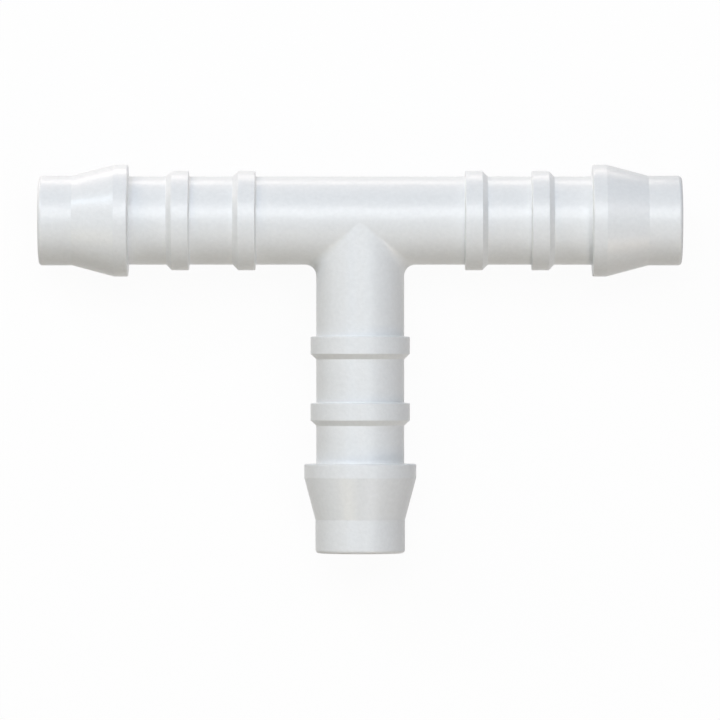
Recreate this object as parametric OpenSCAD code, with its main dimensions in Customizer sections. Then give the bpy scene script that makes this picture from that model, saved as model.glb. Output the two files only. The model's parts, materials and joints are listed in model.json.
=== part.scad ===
// Three-way hose tee: a straight run and a square branch, each arm ending in the same barb for a soft hose.
// Moulded in one piece. It lies flat on its three barbs, with the run along X and the branch towards -Y.
// The origin is where the two centre lines cross.

/* [Hose] */
// Inside diameter of the hose that each arm takes
hose_bore = 10; // [8:0.1:14]
// How much wider the barb is than the hose's bore
barb_grip = 1.5; // [0.8:0.05:2.5]
// How much wider each rib is than the hose's bore
rib_grip = 0.2; // [0:0.05:0.6]
// How much narrower the nose is than the hose's bore
nose_ease = 0.8; // [0.2:0.05:1.2]
// How much narrower the run's plain tube is than the hose's bore
tube_ease = 0.95; // [0.3:0.05:1.4]

/* [Reach] */
// Length of the run, from tip to tip
run_length = 66; // [60:0.5:120]
// From the run's centre line to the tip of the branch
branch_reach = 34.15; // [30:0.05:70]

/* [Tube] */
// Thickness of the plain tube's wall
wall = 1.025; // [0.7:0.025:1.6]
// How much narrower the branch's tube is than the run's
branch_step = 0.02; // [0.01:0.01:0.3]
// Radius of the fillet in the two corners where the branch leaves the run
crotch_r = 1.15; // [0.5:0.05:3]

/* [Nose] */
// Length of the straight nose that finds the hose's mouth
nose_length = 3.45; // [1.5:0.05:6]
// Radius round the outer edge of the tip
tip_round = 0.4; // [0.1:0.05:0.8]
// Bevel of the bore's edge at the tip
mouth_bevel = 0.2; // [0.05:0.05:0.4]

/* [Barb] */
// Length of the cone that spreads the hose
cone_length = 4.3; // [2.5:0.05:8]
// Length of the flat land behind the cone
barb_land = 1.42; // [0.6:0.01:3]
// Radius on the barb's square back edge
barb_round = 0.15; // [0.05:0.01:0.4]

/* [Ribs] */
// Number of small ribs behind the barb
rib_count = 2; // [1:1:2]
// From the barb's back face to the first rib's back face
rib_start = 6.25; // [4:0.01:8]
// From one rib's back face to the next
rib_pitch = 6.82; // [4:0.01:8]
// Length of a rib's flat land
rib_land = 1.77; // [0.6:0.01:3]
// Length of the bevel that leads the hose on to a rib
rib_lead = 0.55; // [0.3:0.05:1.5]
// Radius on a rib's square back edge
rib_round = 0.12; // [0.04:0.01:0.3]

/* [Roots] */
// Radius in the inside corner where a square back meets the tube
root_round = 0.12; // [0.04:0.01:0.3]

/* [Hidden] */
$fn = 96;

acetal = [0.93, 0.94, 0.94];

run_tube_r = (hose_bore - tube_ease) / 2;
branch_tube_r = run_tube_r - branch_step / 2;
barb_r = (hose_bore + barb_grip) / 2;
rib_r = (hose_bore + rib_grip) / 2;
nose_r = (hose_bore - nose_ease) / 2;
run_bore_r = run_tube_r - wall;
branch_bore_r = branch_tube_r - wall;

// Distances back from the tip
cone_start = nose_length;
land_start = cone_start + cone_length;
barb_back = land_start + barb_land;

// What a cutter runs past the end that it opens
past = 1;

// How far the shapes of a profile lap over each other
lap = 0.1;

// The fillet's ball is pushed this far into both tubes, so that its surface crosses theirs
sink = 0.01;
// The corner fills are turned round the branch in steps of this angle
fill_step = 6;
// The fills fade out this far short of the top and bottom lines, where the tubes run into each other
fill_fade = 6;
// Flats across the hollow of a fill
fill_flats = 6;

// A band of the profile from y0 to y1, out to radius r, with its corner at y0 rounded
module rounded_band(r, y0, y1, round) {
    translate([0, y0 + round])
        square([r, y1 - y0 - round]);
    translate([0, y0])
        square([r - round, y1 - y0]);
    translate([r - round, y0 + round])
        circle(r = round);
}

// The rounded inside corner between a square back at y and a tube of radius r
module root(r, y) {
    difference() {
        translate([0, y - root_round])
            square([r + root_round, root_round + lap]);
        translate([r + root_round, y - root_round])
            circle(r = root_round);
    }
}

// A small rib, its square back towards the middle of the tee and its bevel towards the tip
module rib(tube_r, back) {
    root(tube_r, back);
    rounded_band(rib_r, back, back + rib_land, rib_round);
    polygon([
        [0, back + rib_land / 2],
        [rib_r, back + rib_land / 2],
        [rib_r, back + rib_land],
        [tube_r, back + rib_land + rib_lead],
        [0, back + rib_land + rib_lead]
    ]);
}

// The barb, its square back towards the middle of the tee, then its cone down to the nose
module barb(tube_r, tip) {
    root(tube_r, tip - barb_back);
    rounded_band(barb_r, tip - barb_back, tip - land_start, barb_round);
    polygon([
        [0, tip - land_start - barb_land / 2],
        [barb_r, tip - land_start - barb_land / 2],
        [barb_r, tip - land_start],
        [nose_r, tip - cone_start],
        [0, tip - cone_start]
    ]);
}

// The nose, with the outer edge of its tip rounded
module nose(tip) {
    mirror([0, 1])
        rounded_band(nose_r, -tip, cone_start - tip + past, tip_round);
}

// Half the section of one arm, radius against distance from the middle of the tee
module arm_profile(tube_r, tip) {
    square([tube_r, tip - barb_back + barb_land / 2]);
    for (i = [0 : rib_count - 1])
        rib(tube_r, tip - barb_back - rib_start - i * rib_pitch);
    barb(tube_r, tip);
    nose(tip);
}

// Both arms of the run, turned about one centre line
module run_body() {
    rotate([0, 90, 0])
        rotate_extrude() {
            arm_profile(run_tube_r, run_length / 2);
            mirror([0, 1])
                arm_profile(run_tube_r, run_length / 2);
        }
}

// The branch, from the run's centre line out
module branch_body() {
    rotate([90, 0, 0])
        rotate_extrude()
            arm_profile(branch_tube_r, branch_reach);
}

// Centre of a ball that touches the run and the branch, t degrees round the branch from the top line
function ball(t) =
    let (z = (branch_tube_r + crotch_r - sink) * cos(t))
    [
        (branch_tube_r + crotch_r - sink) * sin(t),
        -sqrt(pow(run_tube_r + crotch_r - sink, 2) - z * z),
        z
    ];

// Unit vectors from that centre square on to the run and square on to the branch
function to_run(c) = [0, -c.y, -c.z] / norm([0, c.y, c.z]);
function to_branch(c) = [-c.x, 0, -c.z] / norm([c.x, 0, c.z]);

// A unit vector the share k of the way round from u to v
function swing(u, v, k) =
    let (a = acos(u * v))
    (sin((1 - k) * a) * u + sin(k * a) * v) / sin(a);

// One slice through a corner fill: the hollow arc from run to branch, then a point inside both walls
function slice(t) =
    let (c = ball(t), u = to_run(c), v = to_branch(c))
    concat(
        [for (i = [0 : fill_flats]) c + crotch_r * swing(u, v, i / fill_flats)],
        [c + (crotch_r + wall / 2) * (u + v) / norm(u + v) + wall / 4 * (u + v)]
    );

// The fill in the corner on the +X side: slices from near the top line to near the bottom line
module corner_fill() {
    turns = [fill_fade : fill_step : 180 - fill_fade];
    slices = [for (t = turns) slice(t)];
    per = fill_flats + 2;
    last = len(slices) - 1;
    polyhedron(
        points = [for (s = slices) for (p = s) p],
        faces = concat(
            [for (j = [0 : last - 1]) for (i = [0 : per - 1])
                [j * per + i, (j + 1) * per + i, (j + 1) * per + (i + 1) % per]],
            [for (j = [0 : last - 1]) for (i = [0 : per - 1])
                [j * per + i, (j + 1) * per + (i + 1) % per, j * per + (i + 1) % per]],
            [for (i = [0 : per - 3]) [per - 1, i, i + 1]],
            [for (i = [0 : per - 3])
                [last * per + per - 1, last * per + i + 1, last * per + i]]
        )
    );
}

// The bore of one arm, from the middle out past the tip, with the bevel at its mouth
module bore(r, tip) {
    cylinder(r = r, h = tip + past);
    translate([0, 0, tip - mouth_bevel])
        cylinder(r1 = r, r2 = r + mouth_bevel + past, h = mouth_bevel + past);
}

module tee() {
    color(acetal)
        difference() {
            union() {
                run_body();
                branch_body();
                corner_fill();
                mirror([1, 0, 0])
                    corner_fill();
            }
            rotate([0, 90, 0])
                bore(run_bore_r, run_length / 2);
            rotate([0, -90, 0])
                bore(run_bore_r, run_length / 2);
            rotate([90, 0, 0])
                bore(branch_bore_r, branch_reach);
        }
}

tee();
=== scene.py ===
import json
import math

import bpy
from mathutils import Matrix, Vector


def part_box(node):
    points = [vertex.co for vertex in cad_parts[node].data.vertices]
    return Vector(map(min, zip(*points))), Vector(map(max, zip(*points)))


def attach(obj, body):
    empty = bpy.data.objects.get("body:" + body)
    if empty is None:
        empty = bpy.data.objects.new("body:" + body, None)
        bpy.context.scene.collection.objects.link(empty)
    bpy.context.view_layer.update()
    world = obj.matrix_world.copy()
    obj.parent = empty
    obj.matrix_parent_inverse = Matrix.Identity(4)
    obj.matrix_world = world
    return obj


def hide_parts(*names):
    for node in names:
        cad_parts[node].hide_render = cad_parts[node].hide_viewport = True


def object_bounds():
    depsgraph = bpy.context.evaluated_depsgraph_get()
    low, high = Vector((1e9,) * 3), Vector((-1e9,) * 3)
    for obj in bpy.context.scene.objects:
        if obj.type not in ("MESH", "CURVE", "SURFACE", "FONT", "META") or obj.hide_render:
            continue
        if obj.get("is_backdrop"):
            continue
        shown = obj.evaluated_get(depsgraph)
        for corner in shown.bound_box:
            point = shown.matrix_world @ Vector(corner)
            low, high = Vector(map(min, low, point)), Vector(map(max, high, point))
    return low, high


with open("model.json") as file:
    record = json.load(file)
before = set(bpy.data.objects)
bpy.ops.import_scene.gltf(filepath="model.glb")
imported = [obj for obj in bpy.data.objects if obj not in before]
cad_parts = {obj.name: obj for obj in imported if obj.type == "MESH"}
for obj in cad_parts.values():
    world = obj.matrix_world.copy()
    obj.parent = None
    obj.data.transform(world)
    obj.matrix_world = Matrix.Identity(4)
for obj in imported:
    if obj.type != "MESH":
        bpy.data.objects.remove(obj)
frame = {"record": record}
solid_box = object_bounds()

# The tee: a straight run with a square branch, and the same hose barb on each of its three arms. It is
# moulded from white acetal in one shot, in two steel halves that part along its middle plane, round three
# core pins that leave the bores. It lies loose on its three barbs.
mm = 0.001
low_corner, high_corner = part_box("tee")
mounts = {mount["name"]: mount for mount in frame["record"]["mounts"]}

run_tip = high_corner.x
branch_tip = -low_corner.y
barb_r = high_corner.z
run_bore_r = mounts["run_bore"]["dims"]["r_mm"] * mm
branch_bore_r = mounts["branch_bore"]["dims"]["r_mm"] * mm
wall = 1.025 * mm
run_r = run_bore_r + wall
branch_r = branch_bore_r + wall
crotch_r = 1.15 * mm

nose_r = 4.6 * mm
nose_length = 3.45 * mm
cone_length = 4.3 * mm
barb_land = 1.42 * mm
rib_r = 5.1 * mm
rib_start = 6.25 * mm
rib_pitch = 6.82 * mm
rib_land = 1.77 * mm
rib_lead = 0.55 * mm

tip_round = 0.4 * mm
barb_round = 0.15 * mm
rib_round = 0.12 * mm
root_round = 0.12 * mm
cone_round = 0.25 * mm
lead_round = 0.1 * mm
mouth_bevel = 0.2 * mm
mouth_round = 0.05 * mm

columns = 144
half = columns // 2
hollow_steps = 10
neck_steps = 5
bore_steps = 6
arc_step = math.radians(15)


def arm_corners(tube_r, bore_r, tip):
    """Corners of an arm's section, from the middle of the tee out to the tip and back into the bore. Each
    is its distance along the arm, its distance from the centre line and how far it is rounded."""
    cone_start = tip - nose_length
    barb_front = cone_start - cone_length
    barb_back = barb_front - barb_land
    corners = []
    for rib_back in (barb_back - rib_start - rib_pitch, barb_back - rib_start):
        rib_front = rib_back + rib_land
        corners += [
            (rib_back, tube_r, root_round),
            (rib_back, rib_r, rib_round),
            (rib_front, rib_r, lead_round),
            (rib_front + rib_lead, tube_r, lead_round),
        ]
    return corners + [
        (barb_back, tube_r, root_round),
        (barb_back, barb_r, barb_round),
        (barb_front, barb_r, cone_round),
        (cone_start, nose_r, cone_round),
        (tip, nose_r, tip_round),
        (tip, bore_r + mouth_bevel, mouth_round),
        (tip - mouth_bevel, bore_r, mouth_round),
    ]


def rounded(corners):
    """The section with its corners turned into arcs: pairs of a place and the way the surface faces there,
    each with its share along the arm and its share out from the centre line."""
    places = [Vector(corner[:2]) for corner in corners]
    line = [Vector((0, places[0].y))] + places + [Vector((0, places[-1].y))]
    stations = []
    for before, corner, after, (_, _, radius) in zip(line, line[1:], line[2:], corners):
        coming = (corner - before).normalized()
        going = (after - corner).normalized()
        turn = coming.angle(going)
        side = -1 if coming.cross(going) > 0 else 1
        first = Vector((-coming.y, coming.x))
        last = Vector((-going.y, going.x))
        centre = corner - coming * radius * math.tan(turn / 2) - first * radius * side
        steps = max(2, round(turn / arc_step))
        for step in range(steps + 1):
            facing = first.slerp(last, step / steps)
            stations.append((centre + facing * radius * side, facing))
    return stations


# The skin, all four-sided faces: its points, the faces between them, and the way that the surface faces at
# each face's corners. A row is a closed line of pairs, each a point's number and a facing.
points = []
faces = []
facings = []


def row_of(places, ways):
    """Adds a closed row of points."""
    first = len(points)
    points.extend(places)
    return list(zip(range(first, len(points)), ways))


def join(row, next_row, mirrored):
    """Joins two rows with faces."""
    for corners in zip(row, row[1:] + row[:1], next_row[1:] + next_row[:1], next_row):
        if mirrored:
            corners = corners[::-1]
        faces.append([point for point, _ in corners])
        facings.extend(way for _, way in corners)


def standing(row, axis):
    """How far along an axis each point of a row lies, and the spoke from the axis that it stands on."""
    places = [points[point] for point, _ in row]
    along = [place.dot(axis) for place in places]
    spokes = [(place - axis * reach).normalized() for place, reach in zip(places, along)]
    return along, spokes


def turned(along, out, facing, spokes, axis):
    """A row round an arm, each of its points on a spoke and at its own place along the axis."""
    return row_of(
        [axis * reach + spoke * out for reach, spoke in zip(along, spokes)],
        [axis * facing.x + spoke * facing.y for spoke in spokes],
    )


def between(start, end, share):
    """Lengths or spokes that lie a share of the way from the first ones to the last."""
    if isinstance(start[0], Vector):
        return [one.slerp(other, share) for one, other in zip(start, end)]
    return [one + (other - one) * share for one, other in zip(start, end)]


def arm(root_row, seam_row, section, axis, mirrored):
    """Skins an arm from the row where it leaves the middle, over its ribs, barb and tip, and back down its
    bore to the row where the bores meet. Returns which of the faces are the bore's."""
    root_along, spokes = standing(root_row, axis)
    seam_along, seam_spokes = standing(seam_row, axis)
    neck_end, tube_out = section[0][0]
    mouth, bore_out = section[-1][0]
    rows = [root_row]
    for step in range(1, neck_steps):
        along = between(root_along, [neck_end] * columns, step / neck_steps)
        rows.append(turned(along, tube_out, Vector((0, 1)), spokes, axis))
    for place, facing in section:
        rows.append(turned([place.x] * columns, place.y, facing, spokes, axis))
    for row, next_row in zip(rows, rows[1:]):
        join(row, next_row, mirrored)
    bore_first_face = len(faces)
    rows = rows[-1:]
    for step in range(1, bore_steps):
        share = step / bore_steps
        along = between([mouth] * columns, seam_along, share)
        rows.append(turned(along, bore_out, Vector((0, -1)), between(spokes, seam_spokes, share), axis))
    for row, next_row in zip(rows, rows[1:] + [seam_row]):
        join(row, next_row, mirrored)
    return range(bore_first_face, len(faces))


# The corner between run and branch is the hollow that a ball leaves as it rolls round the branch's root and
# touches both tubes. The spokes go round the branch from its top line towards +X.
branch_spokes = [
    Vector((math.sin(math.tau * column / columns), 0, math.cos(math.tau * column / columns)))
    for column in range(columns)
]
balls = [spoke * (branch_r + crotch_r) for spoke in branch_spokes]
for ball in balls:
    ball.y = -math.sqrt((run_r + crotch_r) ** 2 - ball.z ** 2)
to_run = [Vector((0, -ball.y, -ball.z)).normalized() for ball in balls]
to_branch = [Vector((-ball.x, 0, -ball.z)).normalized() for ball in balls]
hollow = []
for step in range(hollow_steps + 1):
    ways = between(to_run, to_branch, step / hollow_steps)
    hollow.append(row_of([ball + way * crotch_r for ball, way in zip(balls, ways)], [-way for way in ways]))
for row, next_row in zip(hollow, hollow[1:]):
    join(row, next_row, True)

# The two bores meet on a sharp line, so that row faces one way in the run and another in the branch
meeting = [spoke * branch_bore_r for spoke in branch_spokes]
for place in meeting:
    place.y = -math.sqrt(run_bore_r ** 2 - place.z ** 2)
seam_in_run = row_of(meeting, [Vector((0, -place.y, -place.z)).normalized() for place in meeting])
seam_in_branch = [(point, -spoke) for (point, _), spoke in zip(seam_in_run, branch_spokes)]


def back_row(near_row, out, outward):
    """The line round the back of the run where its two arms meet, between the ends of the near row's
    half."""
    first, last = (points[near_row[column][0]] for column in (0, half))
    first_turn = math.atan2(-first.y, first.z) + math.tau
    last_turn = math.atan2(-last.y, last.z)
    turns = [last_turn + (first_turn - last_turn) * step / half for step in range(1, half)]
    spokes = [Vector((0, -math.sin(turn), math.cos(turn))) for turn in turns]
    return row_of([spoke * out for spoke in spokes], [spoke * outward for spoke in spokes])


outer_back = back_row(hollow[0], run_r, 1)
inner_back = back_row(seam_in_run, run_bore_r, -1)
run_section = rounded(arm_corners(run_r, run_bore_r, run_tip))
branch_section = rounded(arm_corners(branch_r, branch_bore_r, branch_tip))
bore_faces = []
for side in (1, -1):
    near = [column * side % columns for column in range(half + 1)]
    root_row = [hollow[0][column] for column in near] + outer_back
    seam_row = [seam_in_run[column] for column in near] + inner_back
    bore_faces += arm(root_row, seam_row, run_section, Vector((side, 0, 0)), side < 0)
bore_faces += arm(hollow[-1], seam_in_branch, branch_section, Vector((0, -1, 0)), True)

tee_mesh = bpy.data.meshes.new("hose_tee")
tee_mesh.from_pydata(points, [], faces)
tee_mesh.shade_smooth()
tee_mesh.normals_split_custom_set(facings)
for face in bore_faces:
    tee_mesh.polygons[face].material_index = 1
tee = bpy.data.objects.new("hose_tee", tee_mesh)
bpy.context.scene.collection.objects.link(tee)


def add(tree, kind, inputs, **settings):
    """Adds a node to a material or a world. An input is a value, or the output of another node."""
    node = tree.nodes.new(kind)
    for name, value in settings.items():
        setattr(node, name, value)
    for name, value in inputs.items():
        if isinstance(value, bpy.types.NodeSocket):
            tree.links.new(value, node.inputs[name])
        else:
            node.inputs[name].default_value = value
    return node


# White acetal: cool and satin outside, where the mould is lightly blasted and leaves the finest grain, and
# a little glossier in the bores, which polished pins shape. A hair line runs round where the mould parts.
acetal_pale = (0.866, 0.886, 0.896, 1)
acetal_deep = (0.766, 0.786, 0.796, 1)
acetal_ior = 1.58
mottle_scale = 2400
mottle_octaves = 4
grain_scale = 3000
grain_octaves = 3
grain_low = 0.42
grain_high = 0.58
grain_depth = 0.04 * mm
grain_strength = 0.5
blasted_roughness = (0.28, 0.36)
polished_roughness = (0.20, 0.28)
parting_width = 0.05 * mm
parting_height = 0.01 * mm


def white_acetal(name, roughness):
    """The plastic, with a faint mottle in its colour and the grain in its shine, between a least and a most
    roughness. Returns the material, its shader, the place on the tee and the grain."""
    plastic = bpy.data.materials.new(name)
    plastic.use_nodes = True
    tree = plastic.node_tree
    shader = tree.nodes["Principled BSDF"]
    shader.inputs["IOR"].default_value = acetal_ior
    place = add(tree, "ShaderNodeTexCoord", {}).outputs["Object"]
    mottle = add(
        tree, "ShaderNodeTexNoise", {"Vector": place, "Scale": mottle_scale, "Detail": mottle_octaves}
    )
    grain = add(tree, "ShaderNodeTexNoise", {"Vector": place, "Scale": grain_scale, "Detail": grain_octaves})
    tint = add(
        tree,
        "ShaderNodeMix",
        {"Factor": mottle.outputs["Fac"], "A": acetal_deep, "B": acetal_pale},
        data_type="RGBA",
    )
    rough = add(
        tree,
        "ShaderNodeMapRange",
        {
            "Value": grain.outputs["Fac"],
            "From Min": grain_low,
            "From Max": grain_high,
            "To Min": roughness[0],
            "To Max": roughness[1],
        },
    )
    tree.links.new(tint.outputs["Result"], shader.inputs["Base Color"])
    tree.links.new(rough.outputs["Result"], shader.inputs["Roughness"])
    return plastic, tree, shader, place, grain


outside, tree, shader, place, grain = white_acetal("acetal_blasted", blasted_roughness)
blasted = add(
    tree,
    "ShaderNodeBump",
    {"Height": grain.outputs["Fac"], "Distance": grain_depth, "Strength": grain_strength},
)
height = add(tree, "ShaderNodeSeparateXYZ", {"Vector": place}).outputs["Z"]
off_middle = add(tree, "ShaderNodeMath", {0: height}, operation="ABSOLUTE").outputs["Value"]
ridge = add(
    tree,
    "ShaderNodeMapRange",
    {"Value": off_middle, "From Max": parting_width, "To Min": 1.0, "To Max": 0.0},
    interpolation_type="SMOOTHSTEP",
)
parted = add(
    tree,
    "ShaderNodeBump",
    {"Height": ridge.outputs["Result"], "Distance": parting_height, "Normal": blasted.outputs["Normal"]},
)
tree.links.new(parted.outputs["Normal"], shader.inputs["Normal"])
bore, *_ = white_acetal("acetal_polished", polished_roughness)

tee_mesh.materials.append(outside)
tee_mesh.materials.append(bore)
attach(tee, "root")
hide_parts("tee")

# The table: a plain white sheet that the tee lies on. The camera and the tee's shine see it as clean white
# paper, with what is left of the tee's soft shadow.
sheet_size = 4.0
sheet_colour = (0.45, 0.45, 0.45, 1)
sheet_colour_seen = (0.95, 0.95, 0.95, 1)
white_share = 0.95
white = (1, 1, 1, 1)

sheet_mesh = bpy.data.meshes.new("table")
edge = sheet_size / 2
sheet_mesh.from_pydata(
    [(x, y, low_corner.z) for x, y in ((-edge, -edge), (edge, -edge), (edge, edge), (-edge, edge))],
    [],
    [(0, 1, 2, 3)],
)
table = bpy.data.objects.new("table", sheet_mesh)
bpy.context.scene.collection.objects.link(table)


def seen_as_white(tree, share):
    """How much of a backdrop reads as clean white, for the camera and in what shines or is clear."""
    path = add(tree, "ShaderNodeLightPath", {}).outputs
    seen = path["Is Camera Ray"]
    for ray in ("Is Glossy Ray", "Is Transmission Ray"):
        either = add(tree, "ShaderNodeMath", {0: seen, 1: path[ray]}, operation="MAXIMUM")
        seen = either.outputs["Value"]
    return add(tree, "ShaderNodeMath", {0: seen, 1: share}, operation="MULTIPLY").outputs["Value"]


sheet = bpy.data.materials.new("white_sheet")
sheet.use_nodes = True
tree = sheet.node_tree
path = add(tree, "ShaderNodeLightPath", {}).outputs
tone = add(
    tree,
    "ShaderNodeMix",
    {"Factor": path["Is Camera Ray"], "A": sheet_colour, "B": sheet_colour_seen},
    data_type="RGBA",
)
cloth = add(tree, "ShaderNodeBsdfDiffuse", {"Color": tone.outputs["Result"]})
clean = add(tree, "ShaderNodeEmission", {"Color": white, "Strength": 1.0})
mixed = add(tree, "ShaderNodeMixShader", {"Fac": seen_as_white(tree, white_share)})
tree.links.new(cloth.outputs["BSDF"], mixed.inputs[1])
tree.links.new(clean.outputs["Emission"], mixed.inputs[2])
tree.links.new(mixed.outputs["Shader"], tree.nodes["Material Output"].inputs["Surface"])
sheet_mesh.materials.append(sheet)
table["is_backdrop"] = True

# The room: an even, dim grey that fills the shade, and clean white where the camera looks past the table
# and where the tee's shine does.
room_colour = (0.01, 0.01, 0.01, 1)

room = bpy.data.worlds.new("room")
room.use_nodes = True
bpy.context.scene.world = room
tree = room.node_tree
dim = add(tree, "ShaderNodeBackground", {"Color": room_colour, "Strength": 1.0})
clean = add(tree, "ShaderNodeBackground", {"Color": white, "Strength": 1.0})
mixed = add(tree, "ShaderNodeMixShader", {"Fac": seen_as_white(tree, 1.0)})
tree.links.new(dim.outputs["Background"], mixed.inputs[1])
tree.links.new(clean.outputs["Background"], mixed.inputs[2])
tree.links.new(mixed.outputs["Shader"], tree.nodes["World Output"].inputs["Surface"])

# The lamps: soft boxes round the table, each a white cloth face with an even glow. Ten stand above the tee
# and look at it, out of the camera's sight. Three small ones lie on the table, face up, behind the run and
# off its left tip.
lamp_distance = 0.6
cloth_lift = 0.2 * mm


def softbox(name, place, aim, width, height, glow):
    """A soft box whose face looks along aim. Its glow is how bright its face is, in red, green and blue."""
    lamp = bpy.data.lights.new(name, "AREA")
    lamp.shape = "RECTANGLE"
    lamp.size = width
    lamp.size_y = height
    lamp.color = [part / max(glow) for part in glow]
    lamp.energy = max(glow) * width * height * math.pi
    box = bpy.data.objects.new(name, lamp)
    box.location = place
    box.rotation_mode = "QUATERNION"
    box.rotation_quaternion = Vector(aim).to_track_quat("-Z", "Y")
    box.visible_camera = False
    bpy.context.scene.collection.objects.link(box)


def overhead_box(name, tilt, bearing, width, height, glow):
    """A soft box that looks down at the tee, tilted from straight above. Its bearing is 0 behind the tee
    and 90 on its right."""
    tilt = math.radians(tilt)
    bearing = math.radians(bearing)
    way = Vector((math.sin(tilt) * math.sin(bearing), math.sin(tilt) * math.cos(bearing), math.cos(tilt)))
    softbox(name, way * lamp_distance, -way, width, height, glow)


def table_box(name, x, y, width, depth, glow):
    """A soft box that lies on the table, face up, with its place and size in millimetres."""
    softbox(name, (x * mm, y * mm, low_corner.z + cloth_lift), (0, 0, 1), width * mm, depth * mm, glow)


overhead_box("key", 20.5, 0, 0.26, 0.28, (4.4, 4.55, 4.7))
overhead_box("left_high", 22, 270, 0.24, 0.24, (0.65, 0.9, 1.2))
overhead_box("right_high", 22, 90, 0.24, 0.24, (1.45, 1.65, 1.75))
overhead_box("right_soft", 38.5, 52, 0.2, 0.26, (2.5, 2.4, 2.5))
overhead_box("back_left_high", 45, 330, 0.24, 0.24, (2.75, 2.7, 3.05))
overhead_box("back_left_low", 65, 302, 0.26, 0.24, (4.65, 4.1, 3.5))
overhead_box("left_spot", 54, 325, 0.06, 0.06, (18, 25, 30))
overhead_box("front_right_high", 45, 150, 0.24, 0.24, (2.25, 2.2, 2.3))
overhead_box("front_right_low", 65, 150, 0.24, 0.24, (2.35, 1.9, 1.4))
overhead_box("front_left", 45, 215, 0.24, 0.24, (1.95, 1.65, 0.95))
table_box("table_back", 5.1, 20, 55, 8, (3.7, 3.3, 3.0))
table_box("table_back_left", -36.4, 20, 28, 8, (4.2, 3.7, 3.4))
table_box("table_left", -48, 12, 15, 7, (3.2, 2.8, 2.6))

# The camera: straight above the tee on a long lens, as the tee was photographed.
camera_height = 0.8
camera_x = -0.025 * mm
camera_y = -14.31 * mm
picture_width = 73.92 * mm

eye = bpy.data.cameras.new("camera")
eye.sensor_width = 36
eye.lens = eye.sensor_width * camera_height / picture_width
eye.clip_start = 0.01
eye.clip_end = 10
camera = bpy.data.objects.new("camera", eye)
camera.location = (camera_x, camera_y, camera_height)
bpy.context.scene.collection.objects.link(camera)
bpy.context.scene.camera = camera
bpy.context.scene.view_settings.view_transform = "Standard"

# The solid's box and the dressed tee's box, lowest and highest corner of each
boxes = {"cad": solid_box, "visual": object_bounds()}
{name: [list(corner) for corner in box] for name, box in boxes.items()}
